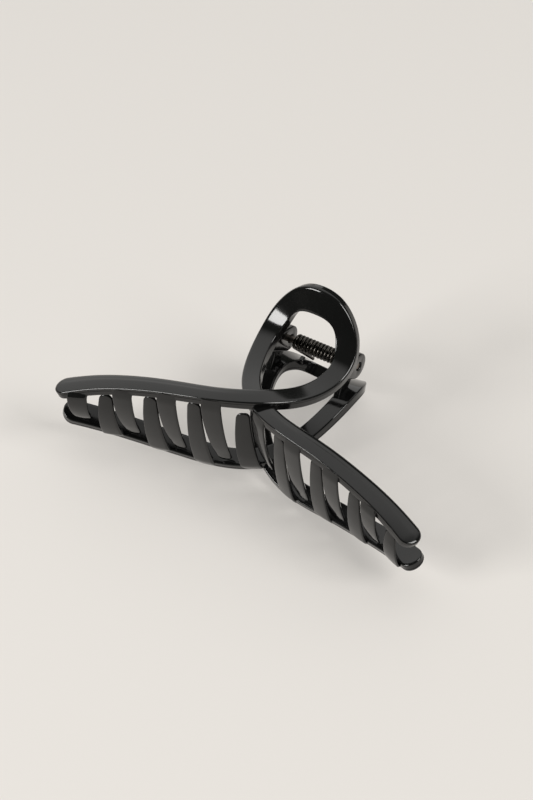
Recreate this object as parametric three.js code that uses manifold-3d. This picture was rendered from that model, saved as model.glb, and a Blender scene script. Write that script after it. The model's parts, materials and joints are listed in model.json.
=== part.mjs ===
// Looped claw hair clip, lying closed on the back of its rear jaw.
// Two identical mouldings, the rear one turned half a turn about the clip's upright axis,
// hinge on one steel pin that also carries a torsion spring.
// The clip is modelled about the hinge axis: x along the pin, y from the teeth up to the
// handles, z from the middle outwards through the front jaw. The whole clip is then tipped
// back until the rear jaw's handle and legs touch the ground together.
import * as THREE from 'three';
import { NURBSCurve } from 'three/addons/curves/NURBSCurve.js';
import { mergeVertices } from 'three/addons/utils/BufferGeometryUtils.js';
import Module from 'manifold-3d';

const wasm = await Module();
wasm.setup();

// ---- band: one ribbon from a leg tip over the crossing, round the handle, to the other tip ----
// Control points of the middle of the band's outer face, from the handle's crown down to a
// leg tip. The other half is the mirror image in x.
const BAND_OUTLINE = [
  [0, 2.44, 18.18],
  [-7.16, 2.65, 16.42],
  [-12.64, -3.85, 6.15],
  [-9.36, -18.1, 8.49],
  [-2.1, -27.7, 14.3],
  [9.2, -32.6, 15.5],
  [20.9, -34.1, 14.3],
  [32.4, -36.4, 12.2],
  [43.4, -39.1, 9.3],
  [50.2, -41.8, 6.9],
  [53.5, -43.2, 5.7],
];
const HANDLE_WIDTH = 4.9;
const CROWN_WIDTH = 7.1;
const LEG_WIDTH = 5.1;
const TIP_WIDTH = 6.2;
const HANDLE_THICKNESS = 2.95;
const LEG_THICKNESS = 2.4;
const EDGE_CHAMFER = 0.5;
const CROSSING_OFFSET = 1.1; // each strand leaves the shared outline by this much where they cross
const CROSSING_REACH = 27; // the strands run together again this far from the crossing
const BAND_LEAN = -0.18; // outward rise of the band's face per mm towards its lower or outer edge
const CROWN_FLARE = 2.24; // extra outward rise at the crown, where the handle curls out
const CROWN_REACH = 16;
const SIDE_LEAN = 0.13; // fall of the handle's face per mm outwards, at its sides
const BLEND_REACH = 5; // distance over which handle sections turn into leg sections
const FLARE_START = 10; // the legs widen towards their tips from this far past the crossing
const BAND_STEPS = 46;
const BAND_END_SHARE = 0.12; // share of its width that a leg keeps at the very end of its round tip

// ---- teeth ----
const TEETH = 8;
const TOOTH_PITCH = 12.15;
const FIRST_TOOTH = -3.78; // place of the first tooth, in pitches from the middle
const TOOTH_WIDTH = 5.3;
const TOOTH_TIP_WIDTH = 3.5;
const TOOTH_BACK = 0.62; // share of its face width that a tooth keeps at its back
const TOOTH_THICKNESS = 2.2;
const TOOTH_TIP_THICKNESS = 1.5;
const TOOTH_CLEARANCE = 1; // between a tooth's end and the other jaw
const CROSSING_SPAN = 4; // teeth this close to the middle meet both strands of the other jaw
const CROSSING_STEP = 2.2; // and are shorter by this much
// A tooth's front face, as steps along its reach and rises from the band's lower edge. It
// starts beside the band's wall and bulges past the edge before it curls in to its tip.
const TOOTH_FACE = [
  [-0.03, 0.1],
  [0.05, -0.75],
  [0.12, -1.05],
  [0.3, -1.35],
  [0.5, -1.3],
  [0.7, -0.85],
  [0.87, -0.1],
  [1, 0.6],
];
const TOOTH_STEPS = 9;
const TOOTH_END_SHARE = 0.4;
const TOOTH_CORNER = [0.15, 0.22]; // cut corners, as shares of half the width and of the thickness

// ---- hinge ----
const EAR_RADIUS = 3.5;
const EAR_THICKNESS = 1.6;
const EAR_INNER = 8.5; // the inner ears start here, the outer ones beyond them
const EAR_GAP = 0.3;
const EAR_ROOT = [-7.6, 6.3]; // middle of the ear's root inside the band
const EAR_ROOT_WIDTH = 3.6;
const PIN_RADIUS = 0.9;
const BORE_RADIUS = 1.2;
const PIN_RECESS = 0.3;

// ---- torsion spring ----
const WIRE_RADIUS = 0.45;
const COIL_RADIUS = 1.7; // from the axis to the middle of the wire
const COIL_HALF_LENGTH = 6.7;
const WHOLE_TURNS = 13;
const ARM_HEADING = 26; // degrees that each arm climbs above the level of the hinge axis
const ARM_LENGTH = 11.8;
const ARM_LEAN = 1.4; // each arm's end is this much nearer the middle than the coil's end
const STATIONS_PER_TURN = 10;

// ---- lug on the handle's inner rim, beside the spring's arm ----
const LUG_SIZE = [1.3, 1.8, 1.6];
const LUG_AT = [6.9, 1, 9.6];

// ---- resting attitude ----
const TABLE_TILT = 6.39; // degrees

const PLASTIC = { color: 0x17181a, roughness: 0.3, metalness: 0 };
const SPRING_STEEL = { color: 0x3a322c, roughness: 0.35, metalness: 0.9 };
const PIN_STEEL = { color: 0x4a4641, roughness: 0.4, metalness: 0.9 };

// ---- fineness ----
const TIP_STEPS = 4; // steps round the end of a leg or tooth
const SECTION_SEGMENTS = 3; // per curve of a lofted section
const EAR_SEGMENTS = 12;
const PIN_SEGMENTS = 16;
const WELD_DISTANCE = 1e-4;
const SEARCH_STEPS = 40;

// ---- solids ----
function solidOf(geometry) {
  const bare = geometry.clone();
  bare.deleteAttribute('normal');
  bare.deleteAttribute('uv');
  const merged = mergeVertices(bare, WELD_DISTANCE);
  return new wasm.Manifold(new wasm.Mesh({
    numProp: 3,
    vertProperties: new Float32Array(merged.attributes.position.array),
    triVerts: new Uint32Array(merged.index.array),
  }));
}

function geometryOf(solid) {
  const mesh = solid.getMesh();
  const geometry = new THREE.BufferGeometry();
  const corners = new Float32Array(mesh.vertProperties);
  geometry.setAttribute('position', new THREE.BufferAttribute(corners, 3));
  geometry.setIndex(new THREE.BufferAttribute(new Uint32Array(mesh.triVerts), 1));
  geometry.computeVertexNormals();
  return geometry;
}

function named(name, geometry, look) {
  const mesh = new THREE.Mesh(geometry, new THREE.MeshStandardMaterial(look));
  mesh.name = name;
  return mesh;
}

// A straight extrusion of a section, one step per station, laid onto the stations' frames.
// The section's x runs along each station's across vector and its y along the out vector.
function loft(section, path) {
  const onward = path[1].at.clone().sub(path[0].at);
  const turn = new THREE.Vector3().crossVectors(path[0].across, path[0].out);
  const stations = turn.dot(onward) > 0 ? path : path.toReversed();
  const geometry = new THREE.ExtrudeGeometry(section, {
    depth: 1,
    steps: stations.length - 1,
    bevelEnabled: false,
    curveSegments: SECTION_SEGMENTS,
  });
  const position = geometry.attributes.position;
  const point = new THREE.Vector3();
  for (let i = 0; i < position.count; i += 1) {
    const station = stations[Math.round(position.getZ(i) * (stations.length - 1))];
    point.copy(station.at);
    point.addScaledVector(station.across, position.getX(i));
    point.addScaledVector(station.out, position.getY(i));
    position.setXYZ(i, point.x, point.y, point.z);
  }
  return geometry;
}

// Stations along a strip that ends in a round tip: how far along each one is, and the share
// of the full width there.
function roundTipped(length, roundLength, endShare, straightSteps) {
  const stations = [];
  for (let i = 0; i <= straightSteps; i += 1) {
    stations.push({ distance: ((length - roundLength) * i) / straightSteps, share: 1 });
  }
  for (let i = 1; i <= TIP_STEPS; i += 1) {
    const past = Math.sin((i / TIP_STEPS) * (Math.PI / 2));
    stations.push({
      distance: length - roundLength * (1 - past),
      share: Math.sqrt(1 - (1 - endShare ** 2) * past ** 2),
    });
  }
  return stations;
}

// Width 2 (from -1 to 1), depth 1 (from -1 to 0, the face at 0), with cut corners.
function stripSection(cutX, cutY, backShare = 1) {
  const section = new THREE.Shape();
  section.moveTo(-1 + cutX, 0);
  section.lineTo(-1, -cutY);
  section.lineTo(-backShare, -1 + cutY);
  section.lineTo(-backShare + cutX, -1);
  section.lineTo(backShare - cutX, -1);
  section.lineTo(backShare, -1 + cutY);
  section.lineTo(1, -cutY);
  section.lineTo(1 - cutX, 0);
  section.closePath();
  return section;
}

// ---- band ----
const DEGREE = 3;
const mirrored = BAND_OUTLINE.slice(1).reverse().map(([x, y, z]) => [-x, y, z]);
const controls = [...mirrored, ...BAND_OUTLINE].map(([x, y, z]) => new THREE.Vector4(x, y, z, 1));
const innerKnots = controls.length - DEGREE;
const knots = [
  ...Array(DEGREE).fill(0),
  ...Array.from({ length: innerKnots + 1 }, (_, i) => i / innerKnots),
  ...Array(DEGREE).fill(1),
];
const bandCurve = new NURBSCurve(DEGREE, knots, controls);
bandCurve.arcLengthDivisions = 2000;
const HALF_LENGTH = bandCurve.getLength() / 2;
const shareAt = (distance) => 0.5 + distance / (2 * HALF_LENGTH);

function findCrossing() {
  let low = 0.3 * HALF_LENGTH;
  let high = 0.7 * HALF_LENGTH;
  for (let i = 0; i < SEARCH_STEPS; i += 1) {
    const middle = (low + high) / 2;
    if (bandCurve.getPointAt(shareAt(middle)).x < 0) low = middle;
    else high = middle;
  }
  return low;
}
const CROSSING = findCrossing();

// The band's frame at a distance from the crown: side is 1 for the strand that passes over
// the crossing and -1 for the one that passes under it.
function bandFrame(distance, side) {
  const at = bandCurve.getPointAt(shareAt(distance));
  const tangent = bandCurve.getTangentAt(shareAt(distance));
  if (distance === 0) {
    // the crown's section lies in the middle plane, where the two strands join face to face
    at.x = 0;
    tangent.set(-1, 0, 0);
  }
  const legShare = 1 / (1 + Math.exp((CROSSING - distance) / BLEND_REACH));
  const flareStart = CROSSING + FLARE_START;
  const tipShare = THREE.MathUtils.clamp((distance - flareStart) / (HALF_LENGTH - flareStart), 0, 1);
  const legWidth = THREE.MathUtils.lerp(LEG_WIDTH, TIP_WIDTH, tipShare);
  const crownShare = Math.exp(-((distance / CROWN_REACH) ** 2));
  const slope = BAND_LEAN + CROWN_FLARE * crownShare;
  const rise = -tangent.x * slope + tangent.y * SIDE_LEAN * (1 - legShare);
  const ringWidth = THREE.MathUtils.lerp(HANDLE_WIDTH, CROWN_WIDTH, crownShare);
  const halfWidth = THREE.MathUtils.lerp(ringWidth, legWidth, legShare) / 2;
  const thickness = THREE.MathUtils.lerp(HANDLE_THICKNESS, LEG_THICKNESS, legShare);
  const across = new THREE.Vector3(tangent.y, -tangent.x, rise).normalize();
  const out = new THREE.Vector3().crossVectors(tangent, across).normalize();
  if (out.z < 0) out.negate();
  const away = THREE.MathUtils.clamp((distance - CROSSING) / CROSSING_REACH, -1, 1);
  at.z += side * CROSSING_OFFSET * (1 + Math.cos(Math.PI * away)) / 2;
  if (side > 0) {
    for (const vector of [at, across, out]) vector.x = -vector.x;
  }
  return { at, across, out, halfWidth, thickness };
}

function strand(side) {
  const plan = roundTipped(HALF_LENGTH, TIP_WIDTH / 2, BAND_END_SHARE, BAND_STEPS);
  const stations = plan.map(({ distance, share }) => {
    const { at, across, out, halfWidth, thickness } = bandFrame(distance, side);
    return { at, across: across.multiplyScalar(halfWidth * share), out: out.multiplyScalar(thickness) };
  });
  const section = stripSection(EDGE_CHAMFER / (LEG_WIDTH / 2), EDGE_CHAMFER / LEG_THICKNESS);
  return solidOf(loft(section, stations));
}

// ---- teeth ----
// The middle of the band's lower edge at a given x, half way through its thickness.
function lowerEdgeAt(x) {
  const way = Math.sign(x);
  const edge = (distance) => {
    const { at, across, out, halfWidth, thickness } = bandFrame(distance, -way);
    return at.addScaledVector(across, halfWidth).addScaledVector(out, -thickness / 2);
  };
  let low = CROSSING - LEG_WIDTH;
  let high = HALF_LENGTH;
  for (let i = 0; i < SEARCH_STEPS; i += 1) {
    const middle = (low + high) / 2;
    if (way * edge(middle).x < way * x) low = middle;
    else high = middle;
  }
  return edge(low);
}

function tooth(x) {
  const root = lowerEdgeAt(x);
  const beside = lowerEdgeAt(x + 1);
  const along = new THREE.Vector3(1, beside.y - root.y, 0).normalize();
  const facing = lowerEdgeAt(-x); // the other jaw's edge at this x, before its half turn
  const shortening = Math.abs(x) < CROSSING_SPAN ? CROSSING_STEP : 0;
  const reach = root.z + facing.z - LEG_THICKNESS / 2 - TOOTH_CLEARANCE - shortening;
  const face = new THREE.CatmullRomCurve3(
    TOOTH_FACE.map(([step, rise]) => new THREE.Vector3(x, root.y + rise, root.z - step * reach)),
  );
  const plan = roundTipped(1, TOOTH_TIP_WIDTH / 2 / reach, TOOTH_END_SHARE, TOOTH_STEPS);
  const stations = plan.map(({ distance, share }) => {
    const tangent = face.getTangentAt(distance);
    const half = (THREE.MathUtils.lerp(TOOTH_WIDTH, TOOTH_TIP_WIDTH, distance ** 2) / 2) * share;
    const thickness = THREE.MathUtils.lerp(TOOTH_THICKNESS, TOOTH_TIP_THICKNESS, distance);
    return {
      at: face.getPointAt(distance),
      across: along.clone().multiplyScalar(half),
      out: new THREE.Vector3(0, tangent.z, -tangent.y).multiplyScalar(thickness),
    };
  });
  return solidOf(loft(stripSection(...TOOTH_CORNER, TOOTH_BACK), stations));
}

// ---- ears ----
// A round lug on the hinge axis with a neck to the band, and a bore for the pin.
function earOutline() {
  const [rootY, rootZ] = EAR_ROOT;
  const heading = Math.atan2(rootZ, rootY);
  const outline = new THREE.Shape();
  outline.absarc(0, 0, EAR_RADIUS, heading + Math.PI / 2, heading - Math.PI / 2 + 2 * Math.PI, false);
  const sideY = -Math.sin(heading) * EAR_ROOT_WIDTH / 2;
  const sideZ = Math.cos(heading) * EAR_ROOT_WIDTH / 2;
  outline.lineTo(rootY - sideY, rootZ - sideZ);
  outline.lineTo(rootY + sideY, rootZ + sideZ);
  outline.closePath();
  const bore = new THREE.Path();
  bore.absarc(0, 0, BORE_RADIUS, 0, 2 * Math.PI, true);
  outline.holes.push(bore);
  return outline;
}

function ear(fromX) {
  const geometry = new THREE.ExtrudeGeometry(earOutline(), {
    depth: EAR_THICKNESS,
    bevelEnabled: false,
    curveSegments: EAR_SEGMENTS,
  });
  // the outline's x and y become the clip's y and z
  geometry.applyMatrix4(new THREE.Matrix4().set(
    0, 0, 1, fromX,
    1, 0, 0, 0,
    0, 1, 0, 0,
    0, 0, 0, 1,
  ));
  return solidOf(geometry);
}

function armLug() {
  const block = new THREE.BoxGeometry(...LUG_SIZE);
  block.translate(...LUG_AT);
  return solidOf(block);
}

function jaw() {
  let solid = strand(1).add(strand(-1));
  for (let i = 0; i < TEETH; i += 1) solid = solid.add(tooth((FIRST_TOOTH + i) * TOOTH_PITCH));
  solid = solid.add(ear(EAR_INNER + EAR_THICKNESS + EAR_GAP));
  solid = solid.add(ear(-EAR_INNER - EAR_THICKNESS));
  return geometryOf(solid.add(armLug()));
}

function hingePin() {
  const length = 2 * (EAR_INNER + 2 * EAR_THICKNESS + EAR_GAP - PIN_RECESS);
  return new THREE.CylinderGeometry(PIN_RADIUS, PIN_RADIUS, length, PIN_SEGMENTS).rotateZ(Math.PI / 2);
}

// The wire runs from the rear jaw's arm round the coil to the front jaw's arm. Angles are
// measured about the hinge axis from y towards z.
function torsionSpring() {
  const heading = THREE.MathUtils.degToRad(ARM_HEADING);
  const startAngle = Math.PI + heading;
  const sweep = 2 * Math.PI * WHOLE_TURNS + 2 * heading;
  const steps = WHOLE_TURNS * STATIONS_PER_TURN;
  const alongAxis = new THREE.Vector3(WIRE_RADIUS, 0, 0);
  const radial = (angle, radius) => (
    new THREE.Vector3(0, radius * Math.cos(angle), radius * Math.sin(angle))
  );
  const stations = [];
  for (let i = 0; i <= steps; i += 1) {
    const angle = startAngle - (sweep * i) / steps;
    const at = radial(angle, COIL_RADIUS);
    at.x = COIL_HALF_LENGTH * ((2 * i) / steps - 1);
    stations.push({ at, across: alongAxis, out: radial(angle, WIRE_RADIUS) });
  }
  const rearEnd = radial(startAngle + Math.PI / 2, ARM_LENGTH).add(stations[0].at);
  rearEnd.x += ARM_LEAN;
  const frontEnd = new THREE.Vector3(-rearEnd.x, rearEnd.y, -rearEnd.z);
  stations.unshift({ ...stations[0], at: rearEnd });
  stations.push({ ...stations.at(-1), at: frontEnd });
  const section = new THREE.Shape().absarc(0, 0, 1, 0, 2 * Math.PI, false);
  return loft(section, stations);
}

const jawGeometry = jaw();
const clip = new THREE.Group();
clip.add(named('front_jaw', jawGeometry, PLASTIC));
const rear = named('rear_jaw', jawGeometry.clone(), PLASTIC);
rear.rotation.y = Math.PI;
clip.add(rear);
clip.add(named('hinge_pin', hingePin(), PIN_STEEL));
clip.add(named('torsion_spring', torsionSpring(), SPRING_STEEL));
clip.rotation.x = THREE.MathUtils.degToRad(TABLE_TILT);

// The origin is the middle of the bounding box's underside, where the clip lies.
const extent = new THREE.Box3().setFromObject(clip, true);
const middle = extent.getCenter(new THREE.Vector3());
clip.position.set(-middle.x, -middle.y, -extent.min.z);

const group = new THREE.Group();
group.add(clip);
export default group;
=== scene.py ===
import json
import math

import bmesh
import bpy
import numpy as np
from mathutils import Matrix, Quaternion, Vector


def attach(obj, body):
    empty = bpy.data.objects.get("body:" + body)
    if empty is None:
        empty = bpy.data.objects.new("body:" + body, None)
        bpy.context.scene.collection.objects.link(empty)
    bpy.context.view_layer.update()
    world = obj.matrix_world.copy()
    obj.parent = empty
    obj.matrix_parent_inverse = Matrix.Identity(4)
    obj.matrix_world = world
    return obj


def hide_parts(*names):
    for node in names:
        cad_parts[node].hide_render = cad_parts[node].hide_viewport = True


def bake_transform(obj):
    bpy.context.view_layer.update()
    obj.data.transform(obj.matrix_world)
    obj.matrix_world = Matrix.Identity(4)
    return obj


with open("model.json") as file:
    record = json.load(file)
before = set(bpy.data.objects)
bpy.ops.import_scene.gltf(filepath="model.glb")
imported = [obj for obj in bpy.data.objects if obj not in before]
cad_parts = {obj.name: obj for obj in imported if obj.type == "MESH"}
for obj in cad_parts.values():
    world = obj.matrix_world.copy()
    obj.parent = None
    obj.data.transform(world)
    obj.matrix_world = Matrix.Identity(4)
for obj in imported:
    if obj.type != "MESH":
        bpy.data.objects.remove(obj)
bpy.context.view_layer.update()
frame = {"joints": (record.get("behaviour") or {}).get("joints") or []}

# Shapes are made in the clip's own frame, in millimetres: x along the pin, y from the teeth up to the
# handles, z outwards through the front jaw, with the hinge axis at the origin. TO_ROW takes them to the
# row frame, in metres.
TABLE_TILT = 6.39
HINGE = Vector(frame["joints"][0]["pos_m"])
TO_ROW = (
    Matrix.Translation(HINGE)
    @ Matrix.Rotation(math.radians(TABLE_TILT), 4, "X")
    @ Matrix.Scale(0.001, 4)
)
HALF_TURN = Matrix.Rotation(math.pi, 4, "Y")

# ---- camera ----
CAMERA_TARGET = Vector((-0.006994, 0.0030326, 0.0122621))
CAMERA_DISTANCE = 0.707867
CAMERA_AZIMUTH = 35.2602
CAMERA_ELEVATION = 48.9375
CAMERA_ROLL = -5.2528
CAMERA_LENS = 122.825

# ---- light: directions are degrees round from the camera's side (-Y) towards +X, and degrees up ----
WINDOW_SIDE = (-155, 38)
WINDOW_RIM = (36, 64)  # full brightness within the first angle, the room's beyond the second
WINDOW_RADIANCE = (1.05, 1.04, 1.01)
ROOM_RADIANCE = (0.06, 0.064, 0.055)
SCREEN_SIDE = (176, 8)  # a dark screen that hides part of the window's foot
SCREEN_RIM = (25, 26.5)  # fully dark within the first angle, nothing beyond the second
# Each lamp's side, distance, size, turn about its own beam in degrees, and power.
LAMPS = {
    "softbox": ((-37, 27), 1.2, (0.52, 0.42), 11, 12),
    "fill": ((95, 40), 1.5, (0.7, 0.7), 0, 15),
}
# Emission on the floor is painted light: it glows though no lamp lights it, and keeps the clip's shadows
# faint.
FLOOR_PAINTED_LIGHT = 0.29
FLOOR_FADE = (-0.5, -0.17)  # the painted light grows from nothing to its full strength between these y
FLOOR_HALF = 3


def direction(azimuth, elevation):
    azimuth, elevation = math.radians(azimuth), math.radians(elevation)
    return Vector((
        math.sin(azimuth) * math.cos(elevation),
        -math.cos(azimuth) * math.cos(elevation),
        math.sin(elevation),
    ))


def make_camera():
    back = direction(CAMERA_AZIMUTH, CAMERA_ELEVATION)
    level = Vector((math.cos(math.radians(CAMERA_AZIMUTH)), math.sin(math.radians(CAMERA_AZIMUTH)), 0))
    right = Matrix.Rotation(math.radians(CAMERA_ROLL), 3, back) @ level
    up = back.cross(right)
    camera = bpy.data.objects.new("camera", bpy.data.cameras.new("camera"))
    camera.data.lens = CAMERA_LENS
    camera.data.sensor_width = 36
    camera.data.clip_start = 0.01
    camera.data.clip_end = 20
    camera.matrix_world = Matrix.Translation(CAMERA_TARGET + back * CAMERA_DISTANCE) @ Matrix(
        (right, up, back)
    ).transposed().to_4x4()
    bpy.context.scene.collection.objects.link(camera)
    bpy.context.scene.camera = camera


# ---- band dimensions, as in the CAD part ----
BAND_OUTLINE = [
    (0, 2.44, 18.18),
    (-7.16, 2.65, 16.42),
    (-12.64, -3.85, 6.15),
    (-9.36, -18.1, 8.49),
    (-2.1, -27.7, 14.3),
    (9.2, -32.6, 15.5),
    (20.9, -34.1, 14.3),
    (32.4, -36.4, 12.2),
    (43.4, -39.1, 9.3),
    (50.2, -41.8, 6.9),
    (53.5, -43.2, 5.7),
]
HANDLE_WIDTH = 4.9
CROWN_WIDTH = 7.1
LEG_WIDTH = 5.1
TIP_WIDTH = 6.2
HANDLE_THICKNESS = 2.95
LEG_THICKNESS = 2.4
CROSSING_OFFSET = 1.1
CROSSING_REACH = 27
BAND_LEAN = -0.18
CROWN_FLARE = 2.24
CROWN_REACH = 16
SIDE_LEAN = 0.13
BLEND_REACH = 5
FLARE_START = 10

# ---- band finish ----
BAND_STATIONS = 230
TIP_ARC_STEPS = 14
FACE_COLUMNS = 5
FACE_CROWN = 0.12
# Inset and depth of the rounding along the leg's upper and the ring's inner edge, then along the
# leg's lower and the ring's outer edge.
LEG_UPPER, RING_INNER = (1.9, 0.8), (0.35, 0.35)
LEG_LOWER, RING_OUTER = (0.32, 0.32), (0.75, 0.7)
BOTTOM_FILLET = 0.35
FILLET_STEPS = 6
# How far the crown's face leans back: its outer edge lies this much lower and its inner edge higher.
CROWN_SETBACK = 0.5
LIP_DEPTH = 0.78
GROOVE_DEPTH = 0.1
GROOVE_WIDTH = 0.16
WALL_INSET = 0.02
JAW_SMOOTH_ANGLE = 35
METAL_SMOOTH_ANGLE = 50
BEVEL_SEGMENTS = 3

# ---- teeth ----
TEETH = 8
TOOTH_PITCH = 12.15
FIRST_TOOTH = -3.78
TOOTH_WIDTH = 5.3
TOOTH_TIP_WIDTH = 3.5
TOOTH_BACK = 0.62
TOOTH_THICKNESS = 2.2
TOOTH_TIP_THICKNESS = 1.5
TOOTH_CLEARANCE = 1
CROSSING_SPAN = 4
CROSSING_STEP = 2.2
TOOTH_FACE = [
    (-0.03, 0.1),
    (0.05, -0.75),
    (0.12, -1.05),
    (0.3, -1.35),
    (0.5, -1.3),
    (0.7, -0.85),
    (0.87, -0.1),
    (1, 0.6),
]
TOOTH_STATIONS = 36
TOOTH_FILLET = 0.5
TOOTH_CROWN = 0.1

# ---- hinge ----
EAR_RADIUS = 3.5
EAR_THICKNESS = 1.6
EAR_INNER = 8.5
EAR_GAP = 0.3
EAR_ROOT = (-7.6, 6.3)
EAR_ROOT_WIDTH = 3.6
EAR_FILLET = 0.35
EAR_ARC_POINTS = 49
BORE_SIDES = 32
PIN_RADIUS = 0.9
BORE_RADIUS = 1.2
PIN_RECESS = 0.3
PIN_SIDES = 40
PIN_END = ((0, 0.2), (0.06, 0.08), (0.2, 0))  # distance from the end, and how far inside the radius
LUG_SIZE = (1.3, 1.8, 1.6)
LUG_AT = (6.9, 1, 9.6)
LUG_FILLET = 0.3

# ---- spring ----
WIRE_RADIUS = 0.45
COIL_RADIUS = 1.7
COIL_HALF_LENGTH = 6.7
WHOLE_TURNS = 13
ARM_HEADING = 26
ARM_LENGTH = 11.8
ARM_LEAN = 1.4
STEPS_PER_TURN = 36
WIRE_SIDES = 14
ARM_STEPS = 24
ARM_ROOT = 0.05  # the arm's last station before the coil, as a share of its length


# ---- mesh helpers ----
def object_from(name, vertices, faces, matrix=TO_ROW):
    """A mesh object of the given vertices, which matrix takes to the row frame."""
    mesh = bpy.data.meshes.new(name)
    mesh.from_pydata([matrix @ Vector(v) for v in vertices], [], faces)
    bm = bmesh.new()
    bm.from_mesh(mesh)
    bmesh.ops.remove_doubles(bm, verts=bm.verts, dist=1e-8)
    bmesh.ops.dissolve_degenerate(bm, edges=bm.edges, dist=1e-9)
    bmesh.ops.recalc_face_normals(bm, faces=bm.faces)
    bm.to_mesh(mesh)
    bm.free()
    made = bpy.data.objects.new(name, mesh)
    bpy.context.scene.collection.objects.link(made)
    return made


def object_of(name, bm, matrix):
    """A mesh object of bm, which matrix takes to the row frame; bm is freed."""
    bmesh.ops.transform(bm, matrix=matrix, verts=bm.verts)
    bmesh.ops.recalc_face_normals(bm, faces=bm.faces)
    mesh = bpy.data.meshes.new(name)
    bm.to_mesh(mesh)
    bm.free()
    made = bpy.data.objects.new(name, mesh)
    bpy.context.scene.collection.objects.link(made)
    return made


def unit(vectors):
    return vectors / np.linalg.norm(vectors, axis=-1, keepdims=True)


# ---- the band's curve and frames ----
def clamped_spline(controls, shares, degree=3):
    """Points of a clamped uniform B-spline at the given shares of its parameter."""
    controls = np.asarray(controls, float)
    spans = len(controls) - degree
    knots = np.concatenate([np.zeros(degree), np.linspace(0, 1, spans + 1), np.ones(degree)])
    basis = np.zeros((len(shares), len(knots) - 1))
    span = np.clip((shares * spans).astype(int), 0, spans - 1) + degree
    basis[np.arange(len(shares)), span] = 1
    for p in range(1, degree + 1):
        raised = np.zeros_like(basis)
        for i in range(len(knots) - 1 - p):
            rise, fall = knots[i + p] - knots[i], knots[i + p + 1] - knots[i + 1]
            if rise > 0:
                raised[:, i] += (shares - knots[i]) / rise * basis[:, i]
            if fall > 0:
                raised[:, i] += (knots[i + p + 1] - shares) / fall * basis[:, i + 1]
        basis = raised
    return basis[:, : len(controls)] @ controls


class Band:
    """The middle of the band's outer face by distance from the crown, and the frames along it."""

    SAMPLES = 8001

    def __init__(self):
        mirrored = [(-x, y, z) for x, y, z in reversed(BAND_OUTLINE[1:])]
        points = clamped_spline(mirrored + BAND_OUTLINE, np.linspace(0, 1, self.SAMPLES))
        steps = np.linalg.norm(np.diff(points, axis=0), axis=1)
        self.along = np.concatenate([[0], np.cumsum(steps)])
        self.half_length = self.along[-1] / 2
        self.along -= self.half_length
        self.points = points
        self.tangents = unit(np.gradient(points, self.along, axis=0))
        later = (self.along > 0.3 * self.half_length) & (self.along < 0.7 * self.half_length)
        self.crossing = np.interp(0, points[later, 0], self.along[later])

    def sample(self, values, distance):
        return np.stack([np.interp(distance, self.along, values[:, k]) for k in range(3)], axis=-1)

    def frames(self, distance, side):
        """Point, across, out, half width and thickness at each distance along one strand."""
        distance = np.asarray(distance, float)
        at = self.sample(self.points, distance)
        tangent = unit(self.sample(self.tangents, distance))
        leg = 1 / (1 + np.exp((self.crossing - distance) / BLEND_REACH))
        flare = self.crossing + FLARE_START
        tip = np.clip((distance - flare) / (self.half_length - flare), 0, 1)
        crown = np.exp(-((distance / CROWN_REACH) ** 2))
        slope = BAND_LEAN + CROWN_FLARE * crown
        ring_width = HANDLE_WIDTH + (CROWN_WIDTH - HANDLE_WIDTH) * crown
        leg_width = LEG_WIDTH + (TIP_WIDTH - LEG_WIDTH) * tip
        half = (ring_width + (leg_width - ring_width) * leg) / 2
        thickness = HANDLE_THICKNESS + (LEG_THICKNESS - HANDLE_THICKNESS) * leg
        tx, ty = tangent[..., 0], tangent[..., 1]
        rise = -tx * slope + ty * SIDE_LEAN * (1 - leg)
        across = unit(np.stack([ty, -tx, rise], axis=-1))
        out = unit(np.cross(tangent, across))
        out = np.where(out[..., 2:] < 0, -out, out)
        away = np.clip((distance - self.crossing) / CROSSING_REACH, -1, 1)
        at[..., 2] += side * CROSSING_OFFSET * (1 + np.cos(np.pi * away)) / 2
        if side > 0:
            mirror = np.array([-1, 1, 1])
            at, across, out = at * mirror, across * mirror, out * mirror
        return at, across, out, half, thickness


BAND = Band()


# ---- slabs: a strip along a path, with a round end and a moulded edge profile ----
def fillet(radii, steps, top):
    """(inset, depth) pairs round a corner of the profile, from the face to the wall if top."""
    angles = np.linspace(0, math.pi / 2, steps + 1)
    inset = radii[0] * (1 - np.sin(angles))
    depth = radii[1] * (1 - np.cos(angles))
    return list(zip(inset, depth)) if top else list(zip(inset, depth))[::-1]


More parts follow.
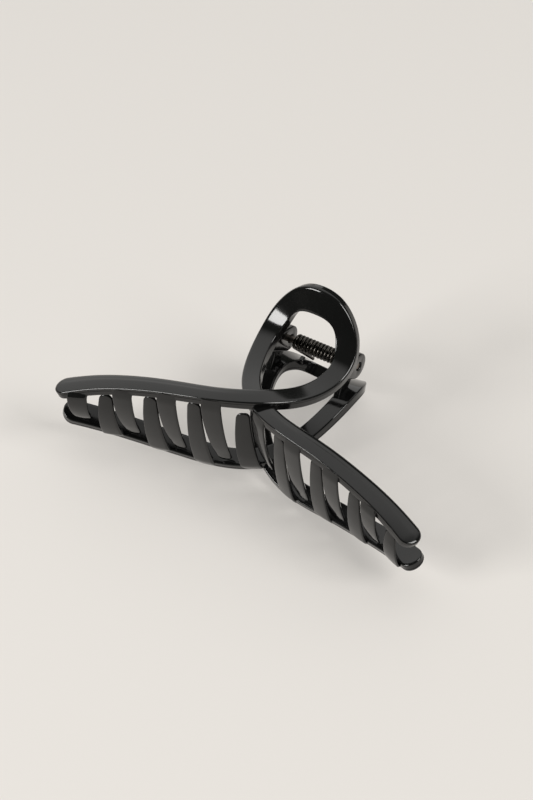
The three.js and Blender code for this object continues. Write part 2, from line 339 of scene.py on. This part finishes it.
def slab(stations, frames, profile):
    """Vertices and faces of a strip with a square start and a round end.

    stations are the distances along the straight part, which ends at the round end's centre.
    frames(distance) gives point, across, out, half width and thickness. profile(half, thickness) gives,
    for each side, rings of (reach, height) from the middle of the face round the edge to the middle of
    the back, with reach 0 on the first and last. Each ring runs up one side, round the end and down the
    other."""
    stations = np.asarray(stations, float)
    centre = stations[-1]
    _, _, _, end_half, end_thickness = frames(np.array([centre]))
    end_profile = np.array(profile(end_half[0], end_thickness[0]))
    _, _, _, half, thickness = frames(stations)
    side_profiles = np.array([profile(h, t) for h, t in zip(half, thickness)])
    rings = end_profile.shape[1]
    angles = np.linspace(-math.pi / 2, math.pi / 2, TIP_ARC_STEPS + 1)[1:-1]
    vertices = []
    for k in range(rings):
        at, across, out, _, _ = frames(stations)
        low = at - across * side_profiles[:, 0, k, :1] + out * side_profiles[:, 0, k, 1:]
        high = at + across * side_profiles[:, 1, k, :1] + out * side_profiles[:, 1, k, 1:]
        share = (1 + np.sin(angles[:, None])) / 2
        radius, end_height = (end_profile[0, k] * (1 - share) + end_profile[1, k] * share).T
        ahead = centre + radius * np.cos(angles)
        at, across, out, _, _ = frames(ahead)
        round_part = at + across * (radius * np.sin(angles))[:, None] + out * end_height[:, None]
        vertices.append(np.concatenate([low, round_part, high[::-1]]))
    count = len(vertices[0])
    faces = []
    for k in range(rings - 1):
        for i in range(count - 1):
            a, b = k * count + i, (k + 1) * count + i
            faces.append((a, a + 1, b + 1, b))
    start = [k * count for k in range(rings)]
    finish = [k * count + count - 1 for k in range(rings)]
    faces.append(tuple(start + finish[-2:0:-1]))
    return np.concatenate(vertices), faces


def edge_profile(half, thickness, top_fillet, bottom_fillet, lip, back_share=1.0, crown=FACE_CROWN):
    """Rings of a strip's section: crowned face, rounded edge, a groove under the lip, rounded back."""
    bottom_fillet = min(bottom_fillet, half * 0.8, thickness * 0.4)
    flat = half - top_fillet[0]
    rings = []
    for i in range(FACE_COLUMNS):
        share = i / FACE_COLUMNS
        rings.append((flat * share, crown * (1 - share**2)))
    rings += [(half - inset, -depth) for inset, depth in fillet(top_fillet, FILLET_STEPS, True)]
    if lip:
        for inset, depth in (
            (0.0, lip),
            (GROOVE_DEPTH, lip + 0.25 * GROOVE_WIDTH),
            (GROOVE_DEPTH, lip + 0.75 * GROOVE_WIDTH),
            (WALL_INSET, lip + GROOVE_WIDTH),
            (WALL_INSET, (lip + GROOVE_WIDTH + thickness) / 2),
        ):
            rings.append((half - inset, -depth))
    else:
        rings.append((half - (1 - back_share) * half / 2, -thickness / 2))
    back = half * back_share
    for inset, depth in fillet((bottom_fillet, bottom_fillet), FILLET_STEPS, False):
        rings.append((back - inset, -thickness + depth))
    flat = back - bottom_fillet
    for i in range(FACE_COLUMNS - 1, -1, -1):
        rings.append((flat * i / FACE_COLUMNS, -thickness))
    return rings


def strand(side):
    def frames(distance):
        return BAND.frames(distance, side)

    def profile(half, thickness):
        ring_share = (thickness - LEG_THICKNESS) / (HANDLE_THICKNESS - LEG_THICKNESS)
        crown_share = max(0, 2 * half - HANDLE_WIDTH) / (CROWN_WIDTH - HANDLE_WIDTH) * ring_share
        groove_foot = thickness - BOTTOM_FILLET - LIP_DEPTH - GROOVE_WIDTH
        sides = []
        for leg, ring, way in ((LEG_UPPER, RING_INNER, 1), (LEG_LOWER, RING_OUTER, -1)):
            rounding = np.array(leg) * (1 - ring_share) + np.array(ring) * ring_share
            crown = FACE_CROWN * (1 - ring_share)
            rings = np.array(edge_profile(half, thickness, rounding, BOTTOM_FILLET, LIP_DEPTH, crown=crown))
            near_face = np.clip((rings[:, 1] + thickness - BOTTOM_FILLET) / groove_foot, 0, 1)
            rings[:, 1] += way * CROWN_SETBACK * crown_share**2 * near_face * rings[:, 0] / half
            sides.append(rings)
        return sides

    stations = np.linspace(0, BAND.half_length - TIP_WIDTH / 2, BAND_STATIONS)
    return slab(stations, frames, profile)


# ---- teeth ----
def lower_edge(x):
    """The middle of the band's lower edge at a given x, half way through its thickness."""
    way = 1 if x > 0 else -1
    distance = np.linspace(BAND.crossing - LEG_WIDTH, BAND.half_length, 4001)
    at, across, out, half, thickness = BAND.frames(distance, -way)
    edge = at + across * half[:, None] - out * (thickness / 2)[:, None]
    return np.array([np.interp(way * x, way * edge[:, 0], edge[:, k]) for k in range(3)])


def natural_curve(points, count=400):
    """Dense points on a Catmull-Rom curve through the given ones, evenly spaced."""
    points = np.asarray(points, float)
    padded = np.vstack([2 * points[0] - points[1], points, 2 * points[-1] - points[-2]])
    share = np.linspace(0, len(points) - 1 - 1e-9, count)
    i = share.astype(int)
    t = (share - i)[:, None]
    p0, p1, p2, p3 = (padded[i + k] for k in range(4))
    dense = 0.5 * (
        2 * p1 + (p2 - p0) * t + (2 * p0 - 5 * p1 + 4 * p2 - p3) * t**2 + (3 * p1 - p0 - 3 * p2 + p3) * t**3
    )
    along = np.concatenate([[0], np.cumsum(np.linalg.norm(np.diff(dense, axis=0), axis=1))])
    return dense, along


def tooth(x):
    root = lower_edge(x)
    beside = lower_edge(x + 1)
    across = unit(np.array([1, beside[1] - root[1], 0]))
    facing = lower_edge(-x)
    crowded = CROSSING_STEP if abs(x) < CROSSING_SPAN else 0
    reach = root[2] + facing[2] - LEG_THICKNESS / 2 - TOOTH_CLEARANCE - crowded
    dense, along = natural_curve([(x, root[1] + rise, root[2] - step * reach) for step, rise in TOOTH_FACE])
    length = along[-1]
    tangents = unit(np.gradient(dense, along, axis=0))

    def frames(distance):
        distance = np.asarray(distance, float)
        share = distance / length
        at = np.stack([np.interp(distance, along, dense[:, k]) for k in range(3)], axis=-1)
        tangent = unit(np.stack([np.interp(distance, along, tangents[:, k]) for k in range(3)], axis=-1))
        out = np.stack([0 * share, tangent[:, 2], -tangent[:, 1]], axis=-1)
        half = (TOOTH_WIDTH + (TOOTH_TIP_WIDTH - TOOTH_WIDTH) * share**2) / 2
        thickness = TOOTH_THICKNESS + (TOOTH_TIP_THICKNESS - TOOTH_THICKNESS) * share
        return at, np.broadcast_to(across, at.shape), out, half, thickness

    def profile(half, thickness):
        rounding = (TOOTH_FILLET, TOOTH_FILLET)
        side = edge_profile(half, thickness, rounding, TOOTH_FILLET, 0, TOOTH_BACK, TOOTH_CROWN)
        return [side, side]

    stations = np.linspace(0, length - TOOTH_TIP_WIDTH / 2, TOOTH_STATIONS)
    return slab(stations, frames, profile)


# ---- ears ----
def ear_object(name, from_x, matrix):
    root_y, root_z = EAR_ROOT
    heading = math.atan2(root_z, root_y)
    start, end = heading + math.pi / 2, heading - math.pi / 2 + 2 * math.pi
    arc = np.linspace(start, end, EAR_ARC_POINTS)
    outline = [(EAR_RADIUS * math.cos(a), EAR_RADIUS * math.sin(a)) for a in arc]
    side = (-math.sin(heading) * EAR_ROOT_WIDTH / 2, math.cos(heading) * EAR_ROOT_WIDTH / 2)
    outline += [(root_y - side[0], root_z - side[1]), (root_y + side[0], root_z + side[1])]
    turn = np.linspace(0, 2 * math.pi, BORE_SIDES + 1)[:-1]
    bore = [(BORE_RADIUS * math.cos(a), BORE_RADIUS * math.sin(a)) for a in turn]
    bm = bmesh.new()
    edges = []
    for loop in (outline, bore):
        verts = [bm.verts.new((from_x, y, z)) for y, z in loop]
        edges += [bm.edges.new((verts[i], verts[(i + 1) % len(verts)])) for i in range(len(verts))]
    bmesh.ops.triangle_fill(bm, use_beauty=True, use_dissolve=False, edges=edges)
    bmesh.ops.dissolve_limit(
        bm, angle_limit=0.01, verts=bm.verts, edges=bm.edges, use_dissolve_boundaries=False
    )
    extruded = bmesh.ops.extrude_face_region(bm, geom=list(bm.faces))
    moved = [g for g in extruded["geom"] if isinstance(g, bmesh.types.BMVert)]
    bmesh.ops.translate(bm, vec=(EAR_THICKNESS, 0, 0), verts=moved)
    bmesh.ops.recalc_face_normals(bm, faces=bm.faces)
    rims = [e for e in bm.edges if abs(e.verts[0].co.x - e.verts[1].co.x) < 1e-6]
    bmesh.ops.bevel(
        bm,
        geom=[e for e in rims if e.calc_face_angle(0) > 1],
        offset=EAR_FILLET,
        segments=BEVEL_SEGMENTS,
        profile=0.5,
        affect="EDGES",
        clamp_overlap=True,
    )
    return object_of(name, bm, matrix)


def lug_object(name, matrix):
    bm = bmesh.new()
    bmesh.ops.create_cube(bm, size=1)
    bmesh.ops.transform(bm, matrix=Matrix.Diagonal((*LUG_SIZE, 1)), verts=bm.verts)
    bmesh.ops.bevel(
        bm, geom=list(bm.edges), offset=LUG_FILLET, segments=BEVEL_SEGMENTS, profile=0.5, affect="EDGES"
    )
    return object_of(name, bm, matrix @ Matrix.Translation(LUG_AT))


def union(base, others):
    """base joined with the others into one closed mesh; the others are removed."""
    for other in others:
        modifier = base.modifiers.new("union", "BOOLEAN")
        modifier.operation = "UNION"
        modifier.solver = "MANIFOLD"
        modifier.object = other
    depsgraph = bpy.context.evaluated_depsgraph_get()
    joined = bpy.data.meshes.new_from_object(base.evaluated_get(depsgraph))
    base.modifiers.clear()
    base.data = joined
    for other in others:
        bpy.data.objects.remove(other)
    return base


def jaw(name, matrix):
    base = object_from(name, *strand(1), matrix)
    others = [object_from("strand", *strand(-1), matrix)]
    for i in range(TEETH):
        others.append(object_from("tooth", *tooth((FIRST_TOOTH + i) * TOOTH_PITCH), matrix))
    others.append(ear_object("ear", EAR_INNER + EAR_THICKNESS + EAR_GAP, matrix))
    others.append(ear_object("ear", -EAR_INNER - EAR_THICKNESS, matrix))
    others.append(lug_object("lug", matrix))
    return union(base, others)


def smooth_by_angle(obj, degrees):
    mesh = obj.data
    mesh.shade_smooth()
    bm = bmesh.new()
    bm.from_mesh(mesh)
    limit = math.radians(degrees)
    for edge in bm.edges:
        edge.smooth = edge.calc_face_angle(0) < limit
    bm.to_mesh(mesh)
    bm.free()


# ---- pin and spring ----
def pin_object():
    half = EAR_INNER + 2 * EAR_THICKNESS + EAR_GAP - PIN_RECESS
    end = [(-half, 0)] + [(-half + step, PIN_RADIUS - inside) for step, inside in PIN_END]
    shank = [(x, PIN_RADIUS) for x in np.linspace(-half + 1, half - 1, 12)]
    rings = end + shank + [(-x, r) for x, r in reversed(end)]
    vertices, faces = [], []
    for x, r in rings:
        for s in range(PIN_SIDES):
            a = 2 * math.pi * s / PIN_SIDES
            vertices.append((x, r * math.cos(a), r * math.sin(a)))
    for k in range(len(rings) - 1):
        here, ahead = k * PIN_SIDES, (k + 1) * PIN_SIDES
        for s in range(PIN_SIDES):
            t = (s + 1) % PIN_SIDES
            faces.append((here + s, here + t, ahead + t, ahead + s))
    return object_from("pin_turned", vertices, faces)


def spring_object():
    heading = math.radians(ARM_HEADING)
    start_angle = math.pi + heading
    sweep = 2 * math.pi * WHOLE_TURNS + 2 * heading
    steps = WHOLE_TURNS * STEPS_PER_TURN
    angle = start_angle - sweep * np.arange(steps + 1) / steps
    coil = np.stack([
        COIL_HALF_LENGTH * (2 * np.arange(steps + 1) / steps - 1),
        COIL_RADIUS * np.cos(angle),
        COIL_RADIUS * np.sin(angle),
    ], axis=-1)
    way = np.array([0, math.cos(start_angle + math.pi / 2), math.sin(start_angle + math.pi / 2)])
    reach = np.linspace(1, ARM_ROOT, ARM_STEPS)[:, None]
    arm = coil[0] + reach * (ARM_LENGTH * way + np.array([ARM_LEAN, 0, 0]))
    other_arm = arm[::-1] * np.array([-1, 1, -1])
    path = np.concatenate([arm, coil, other_arm])
    tangent = unit(np.gradient(path, axis=0))
    side = np.zeros_like(path)
    normal = np.array([1.0, 0, 0])
    for i, t in enumerate(tangent):
        normal = unit(normal - t * (normal @ t))
        side[i] = normal
    other = np.cross(tangent, side)
    turn = 2 * math.pi * np.arange(WIRE_SIDES) / WIRE_SIDES
    rings = (
        path[:, None, :]
        + WIRE_RADIUS * np.cos(turn)[None, :, None] * side[:, None, :]
        + WIRE_RADIUS * np.sin(turn)[None, :, None] * other[:, None, :]
    )
    count = len(path)
    vertices = rings.reshape(-1, 3)
    faces = []
    for i in range(count - 1):
        here, ahead = i * WIRE_SIDES, (i + 1) * WIRE_SIDES
        for s in range(WIRE_SIDES):
            t = (s + 1) % WIRE_SIDES
            faces.append((here + s, here + t, ahead + t, ahead + s))
    faces.append(tuple(range(WIRE_SIDES))[::-1])
    faces.append(tuple(range((count - 1) * WIRE_SIDES, count * WIRE_SIDES)))
    return object_from("spring_wire", vertices, faces)


# ---- materials ----
def new_material(name):
    """A material, its nodes, its links and its shader."""
    material = bpy.data.materials.new(name)
    material.use_nodes = True
    tree = material.node_tree
    return material, tree.nodes, tree.links, tree.nodes["Principled BSDF"]


def plastic_material():
    material, nodes, links, shader = new_material("moulded_black_plastic")
    shader.inputs["IOR"].default_value = 1.49
    place = nodes.new("ShaderNodeTexCoord")
    flow = nodes.new("ShaderNodeTexNoise")
    flow.inputs["Scale"].default_value = 90
    flow.inputs["Detail"].default_value = 3
    links.new(place.outputs["Object"], flow.inputs["Vector"])
    tone = nodes.new("ShaderNodeMapRange")
    tone.inputs["To Min"].default_value = 0.003
    tone.inputs["To Max"].default_value = 0.006
    links.new(flow.outputs["Fac"], tone.inputs["Value"])
    colour = nodes.new("ShaderNodeCombineColor")
    for channel in ("Red", "Green", "Blue"):
        links.new(tone.outputs["Result"], colour.inputs[channel])
    links.new(colour.outputs["Color"], shader.inputs["Base Color"])
    fine = nodes.new("ShaderNodeTexNoise")
    fine.inputs["Scale"].default_value = 1400
    fine.inputs["Detail"].default_value = 4
    links.new(place.outputs["Object"], fine.inputs["Vector"])
    gloss = nodes.new("ShaderNodeMapRange")
    gloss.inputs["To Min"].default_value = 0.06
    gloss.inputs["To Max"].default_value = 0.15
    links.new(fine.outputs["Fac"], gloss.inputs["Value"])
    links.new(gloss.outputs["Result"], shader.inputs["Roughness"])
    bump = nodes.new("ShaderNodeBump")
    bump.inputs["Strength"].default_value = 0.08
    bump.inputs["Distance"].default_value = 0.0001
    links.new(flow.outputs["Fac"], bump.inputs["Height"])
    links.new(bump.outputs["Normal"], shader.inputs["Normal"])
    return material


def steel_material(name, dark, light, rough_low, rough_high):
    material, nodes, links, shader = new_material(name)
    shader.inputs["Metallic"].default_value = 1
    place = nodes.new("ShaderNodeTexCoord")
    noise = nodes.new("ShaderNodeTexNoise")
    noise.inputs["Scale"].default_value = 700
    noise.inputs["Detail"].default_value = 5
    links.new(place.outputs["Object"], noise.inputs["Vector"])
    ramp = nodes.new("ShaderNodeValToRGB")
    ramp.color_ramp.elements[0].position = 0.35
    ramp.color_ramp.elements[0].color = (*dark, 1)
    ramp.color_ramp.elements[1].position = 0.7
    ramp.color_ramp.elements[1].color = (*light, 1)
    links.new(noise.outputs["Fac"], ramp.inputs["Fac"])
    links.new(ramp.outputs["Color"], shader.inputs["Base Color"])
    gloss = nodes.new("ShaderNodeMapRange")
    gloss.inputs["To Min"].default_value = rough_low
    gloss.inputs["To Max"].default_value = rough_high
    links.new(noise.outputs["Fac"], gloss.inputs["Value"])
    links.new(gloss.outputs["Result"], shader.inputs["Roughness"])
    return material


def floor_material():
    """Pale paper with painted light: an emission glowing where the clip lies, so that its shadows stay
    faint, and fading to nothing towards -y.
    """
    material, nodes, links, shader = new_material("floor_paper_painted_light")
    shader.inputs["Roughness"].default_value = 0.85
    shader.inputs["Specular IOR Level"].default_value = 0.1
    shader.inputs["Base Color"].default_value = (0.42, 0.403, 0.385, 1)
    shader.inputs["Emission Color"].default_value = (1, 0.96, 0.912, 1)
    place = nodes.new("ShaderNodeTexCoord")
    split = nodes.new("ShaderNodeSeparateXYZ")
    links.new(place.outputs["Object"], split.inputs["Vector"])
    # painted light: the floor's emission strength, faded in along y
    fade = nodes.new("ShaderNodeMapRange")
    fade.interpolation_type = "SMOOTHSTEP"
    fade.inputs["From Min"].default_value = FLOOR_FADE[0]
    fade.inputs["From Max"].default_value = FLOOR_FADE[1]
    fade.inputs["To Max"].default_value = FLOOR_PAINTED_LIGHT
    links.new(split.outputs["Y"], fade.inputs["Value"])
    links.new(fade.outputs["Result"], shader.inputs["Emission Strength"])
    return material


# ---- build ----
make_camera()

plastic = plastic_material()
steel = steel_material("pin_steel", (0.12, 0.1, 0.085), (0.3, 0.27, 0.24), 0.25, 0.5)
wire = steel_material("spring_steel", (0.028, 0.026, 0.023), (0.09, 0.083, 0.075), 0.16, 0.34)

for body, node, matrix in (
    ("front", "front_jaw", TO_ROW),
    ("rear", "rear_jaw", TO_ROW @ HALF_TURN),
):
    moulding = jaw(f"{node}_moulding", matrix)
    smooth_by_angle(moulding, JAW_SMOOTH_ANGLE)
    moulding.data.materials.clear()
    moulding.data.materials.append(plastic)
    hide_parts(node)
    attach(moulding, body)

pin = pin_object()
smooth_by_angle(pin, METAL_SMOOTH_ANGLE)
pin.data.materials.append(steel)
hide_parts("hinge_pin")
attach(pin, "rear")

spring = spring_object()
smooth_by_angle(spring, METAL_SMOOTH_ANGLE)
spring.data.materials.append(wire)
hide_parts("torsion_spring")
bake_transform(spring)

# ---- floor and light ----
floor = object_from(
    "floor",
    [(x * FLOOR_HALF, y * FLOOR_HALF, 0) for x, y in ((-1, -1), (1, -1), (1, 1), (-1, 1))],
    [(0, 1, 2, 3)],
    Matrix.Identity(4),
)
floor.data.materials.append(floor_material())


def studio_world():
    """A dim room with a broad bright window behind the clip and a dark screen before its foot."""
    world = bpy.data.worlds.new("studio")
    world.use_nodes = True
    nodes, links = world.node_tree.nodes, world.node_tree.links
    place = nodes.new("ShaderNodeTexCoord")

    def patch(side, rim, inside, outside):
        """A value that is inside within rim[0] degrees of a side, and outside beyond rim[1]."""
        facing = nodes.new("ShaderNodeVectorMath")
        facing.operation = "DOT_PRODUCT"
        facing.inputs[1].default_value = direction(*side)
        links.new(place.outputs["Generated"], facing.inputs[0])
        spread = nodes.new("ShaderNodeMapRange")
        spread.interpolation_type = "SMOOTHSTEP"
        spread.inputs["From Min"].default_value = math.cos(math.radians(rim[1]))
        spread.inputs["From Max"].default_value = math.cos(math.radians(rim[0]))
        spread.inputs["To Min"].default_value = outside
        spread.inputs["To Max"].default_value = inside
        links.new(facing.outputs["Value"], spread.inputs["Value"])
        return spread.outputs["Result"]

    seen = nodes.new("ShaderNodeMath")
    seen.operation = "MULTIPLY"
    links.new(patch(WINDOW_SIDE, WINDOW_RIM, 1, 0), seen.inputs[0])
    links.new(patch(SCREEN_SIDE, SCREEN_RIM, 0, 1), seen.inputs[1])
    ramp = nodes.new("ShaderNodeValToRGB")
    ramp.color_ramp.elements[0].color = (*ROOM_RADIANCE, 1)
    ramp.color_ramp.elements[1].color = (*WINDOW_RADIANCE, 1)
    links.new(seen.outputs["Value"], ramp.inputs["Fac"])
    links.new(ramp.outputs["Color"], nodes["Background"].inputs["Color"])
    bpy.context.scene.world = world


def lamp(name, side, distance, size, turn, power):
    data = bpy.data.lights.new(name, "AREA")
    data.shape = "RECTANGLE"
    data.size, data.size_y = size
    data.energy = power
    data.color = (1, 0.99, 0.97)
    made = bpy.data.objects.new(name, data)
    way = direction(*side)
    made.location = way * distance + Vector((0, 0, 0.03))
    made.rotation_mode = "QUATERNION"
    made.rotation_quaternion = way.to_track_quat("Z", "Y") @ Quaternion((0, 0, 1), math.radians(turn))
    bpy.context.scene.collection.objects.link(made)


studio_world()
for lamp_name, setting in LAMPS.items():
    lamp(lamp_name, *setting)
bpy.context.scene.view_settings.view_transform = "Standard"
